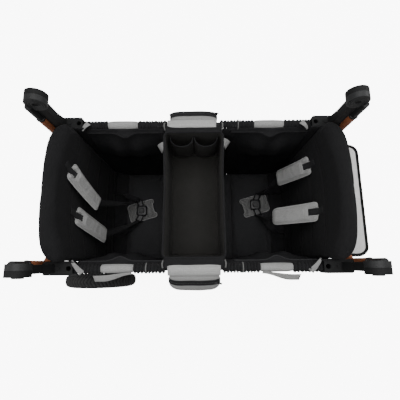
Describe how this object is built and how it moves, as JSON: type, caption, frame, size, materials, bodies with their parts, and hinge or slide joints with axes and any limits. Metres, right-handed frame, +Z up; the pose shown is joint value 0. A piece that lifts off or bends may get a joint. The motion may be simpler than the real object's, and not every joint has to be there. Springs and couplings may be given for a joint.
{
  "type": "stroller wagon",
  "caption": "Folding stroller wagon with facing padded seats, harnesses, a hung console, swinging end handles, large rear wheels and swivelling front wheels.",
  "frame": {"origin": "on the ground below the middle of the wagon", "axes": "+X towards the front end with the swivelling wheels, +Y to the left, +Z up"},
  "size_m": [1.296, 0.7088, 0.868],
  "materials": {
    "frame": "satin black powder coat",
    "moulded": "fine-grained charcoal moulding",
    "board": "plain black board",
    "liner": "black woven cloth",
    "melange": "grey melange cloth",
    "wrap": "stitched brown leatherette",
    "tyre": "ribbed foam rubber",
    "rim": "moulded spokes",
    "steel": "plated"
  },
  "bodies": {
    "rear_frame": {"rear_frame_tubes": "frame", "rear_handle_arms": "moulded", "rear_rail_brackets": "moulded", "rear_axle": "steel", "rear_seat_back": "liner", "rear_shoulder_pads": "melange", "rear_harness_straps": "liner", "rear_side_walls": "liner"},
    "rear_left_wheel": {"rear_left_tyre": "tyre", "rear_left_rim": "rim"},
    "rear_right_wheel": {"rear_right_tyre": "tyre", "rear_right_rim": "rim"},
    "brake": {"brake_pedal": "moulded"},
    "rear_handle": {"rear_handle_bar": "moulded", "rear_handle_grip": "wrap"},
    "rear_left_release": {"rear_left_button": "moulded"},
    "rear_right_release": {"rear_right_button": "moulded"},
    "rear_side_rails": {"rear_rails": "frame", "rear_rail_sleeves": "liner", "rear_rail_pads": "melange"},
    "rear_floor": {"rear_floor_board": "board", "rear_floor_pad": "liner", "rear_buckle": "melange"},
    "rear_buckle_release": {"rear_buckle_button": "moulded"},
    "middle": {"middle_rails": "frame", "middle_floor_board": "board", "middle_floor_pad": "liner", "middle_side_walls": "liner", "fold_strap": "liner"},
    "console": {"console_bin": "liner", "console_pockets": "melange"},
    "front_side_rails": {"front_rails": "frame", "front_rail_sleeves": "liner", "front_rail_pads": "melange"},
    "front_floor": {"front_floor_board": "board", "front_floor_pad": "liner", "front_buckle": "melange"},
    "front_buckle_release": {"front_buckle_button": "moulded"},
    "front_frame": {"front_frame_tubes": "frame", "front_handle_arms": "moulded", "front_rail_brackets": "moulded", "caster_housings": "moulded", "front_seat_back": "liner", "front_shoulder_pads": "melange", "front_harness_straps": "liner", "front_side_walls": "liner", "front_bag": "melange"},
    "front_handle": {"front_handle_bar": "moulded", "front_handle_grip": "wrap"},
    "front_left_release": {"front_left_button": "moulded"},
    "front_right_release": {"front_right_button": "moulded"},
    "left_caster": {"left_fork": "moulded"},
    "left_front_wheel": {"left_front_tyre": "tyre", "left_front_rim": "rim"},
    "left_lock": {"left_swivel_lock": "moulded"},
    "right_caster": {"right_fork": "moulded"},
    "right_front_wheel": {"right_front_tyre": "tyre", "right_front_rim": "rim"},
    "right_lock": {"right_swivel_lock": "moulded"}
  },
  "joints": [
    {"name": "fold", "type": "hinge", "parent": "rear_frame", "child": "rear_side_rails", "pos_m": [-0.39, 0, 0.665], "axis": [0, -1, 0], "range_deg": [0, 66], "deforming": ["rear_side_walls", "front_side_walls"]},
    {"name": "middle_hinge", "type": "hinge", "parent": "rear_side_rails", "child": "middle", "pos_m": [-0.14, 0, 0.665], "axis": [0, -1, 0], "range_deg": [-66, 0]},
    {"name": "front_rail_hinge", "type": "hinge", "parent": "middle", "child": "front_side_rails", "pos_m": [0.14, 0, 0.665], "axis": [0, -1, 0], "range_deg": [-66, 0]},
    {"name": "front_frame_hinge", "type": "hinge", "parent": "front_side_rails", "child": "front_frame", "pos_m": [0.39, 0, 0.665], "axis": [0, -1, 0], "range_deg": [0, 66]},
    {"name": "rear_floor_hinge", "type": "hinge", "parent": "rear_frame", "child": "rear_floor", "pos_m": [-0.39, 0, 0.16], "axis": [0, -1, 0], "range_deg": [0, 66]},
    {"name": "front_floor_hinge", "type": "hinge", "parent": "front_frame", "child": "front_floor", "pos_m": [0.39, 0, 0.16], "axis": [0, -1, 0], "range_deg": [-66, 0]},
    {"name": "rear_handle_swing", "type": "hinge", "parent": "rear_frame", "child": "rear_handle", "pos_m": [-0.483, 0, 0.835], "axis": [0, 1, 0], "range_deg": [0, 150]},
    {"name": "front_handle_swing", "type": "hinge", "parent": "front_frame", "child": "front_handle", "pos_m": [0.483, 0, 0.835], "axis": [0, -1, 0], "range_deg": [0, 150]},
    {"name": "rear_left_press", "type": "slide", "parent": "rear_frame", "child": "rear_left_release", "axis": [0, -1, 0], "range_m": [0, 0.004], "stiffness_N_per_m": 800},
    {"name": "rear_right_press", "type": "slide", "parent": "rear_frame", "child": "rear_right_release", "axis": [0, 1, 0], "range_m": [0, 0.004], "stiffness_N_per_m": 800},
    {"name": "front_left_press", "type": "slide", "parent": "front_frame", "child": "front_left_release", "axis": [0, -1, 0], "range_m": [0, 0.004], "stiffness_N_per_m": 800},
    {"name": "front_right_press", "type": "slide", "parent": "front_frame", "child": "front_right_release", "axis": [0, 1, 0], "range_m": [0, 0.004], "stiffness_N_per_m": 800},
    {"name": "rear_left_spin", "type": "hinge", "parent": "rear_frame", "child": "rear_left_wheel", "pos_m": [-0.483, 0.317, 0.165], "axis": [0, 1, 0], "continuous": true},
    {"name": "rear_right_spin", "type": "hinge", "parent": "rear_frame", "child": "rear_right_wheel", "pos_m": [-0.483, -0.317, 0.165], "axis": [0, 1, 0], "continuous": true},
    {"name": "brake_swing", "type": "hinge", "parent": "rear_frame", "child": "brake", "pos_m": [-0.55562, 0, 0.14499], "axis": [0, -1, 0], "range_deg": [0, 14]},
    {"name": "left_swivel", "type": "hinge", "parent": "front_frame", "child": "left_caster", "pos_m": [0.573, 0.24, 0.24], "axis": [0, 0, 1], "continuous": true},
    {"name": "left_front_spin", "type": "hinge", "parent": "left_caster", "child": "left_front_wheel", "pos_m": [0.543, 0.24, 0.105], "axis": [0, 1, 0], "continuous": true},
    {"name": "left_lock_press", "type": "slide", "parent": "front_frame", "child": "left_lock", "axis": [0, 0, -1], "range_m": [0, 0.008]},
    {"name": "right_swivel", "type": "hinge", "parent": "front_frame", "child": "right_caster", "pos_m": [0.573, -0.24, 0.24], "axis": [0, 0, 1], "continuous": true},
    {"name": "right_front_spin", "type": "hinge", "parent": "right_caster", "child": "right_front_wheel", "pos_m": [0.543, -0.24, 0.105], "axis": [0, 1, 0], "continuous": true},
    {"name": "right_lock_press", "type": "slide", "parent": "front_frame", "child": "right_lock", "axis": [0, 0, -1], "range_m": [0, 0.008]},
    {"name": "console_lift", "type": "slide", "parent": "middle", "child": "console", "axis": [0, 0, 1], "range_m": [0, 0.35]},
    {"name": "rear_buckle_press", "type": "slide", "parent": "rear_floor", "child": "rear_buckle_release", "axis": [0, 0, -1], "range_m": [0, 0.0015], "stiffness_N_per_m": 600},
    {"name": "front_buckle_press", "type": "slide", "parent": "front_floor", "child": "front_buckle_release", "axis": [0, 0, -1], "range_m": [0, 0.0015], "stiffness_N_per_m": 600}
  ],
  "couplings": [
    {"joint": "middle_hinge", "follows": "fold", "ratio": -1},
    {"joint": "front_rail_hinge", "follows": "fold", "ratio": -1},
    {"joint": "front_frame_hinge", "follows": "fold", "ratio": 1},
    {"joint": "rear_floor_hinge", "follows": "fold", "ratio": 1},
    {"joint": "front_floor_hinge", "follows": "fold", "ratio": -1}
  ]
}
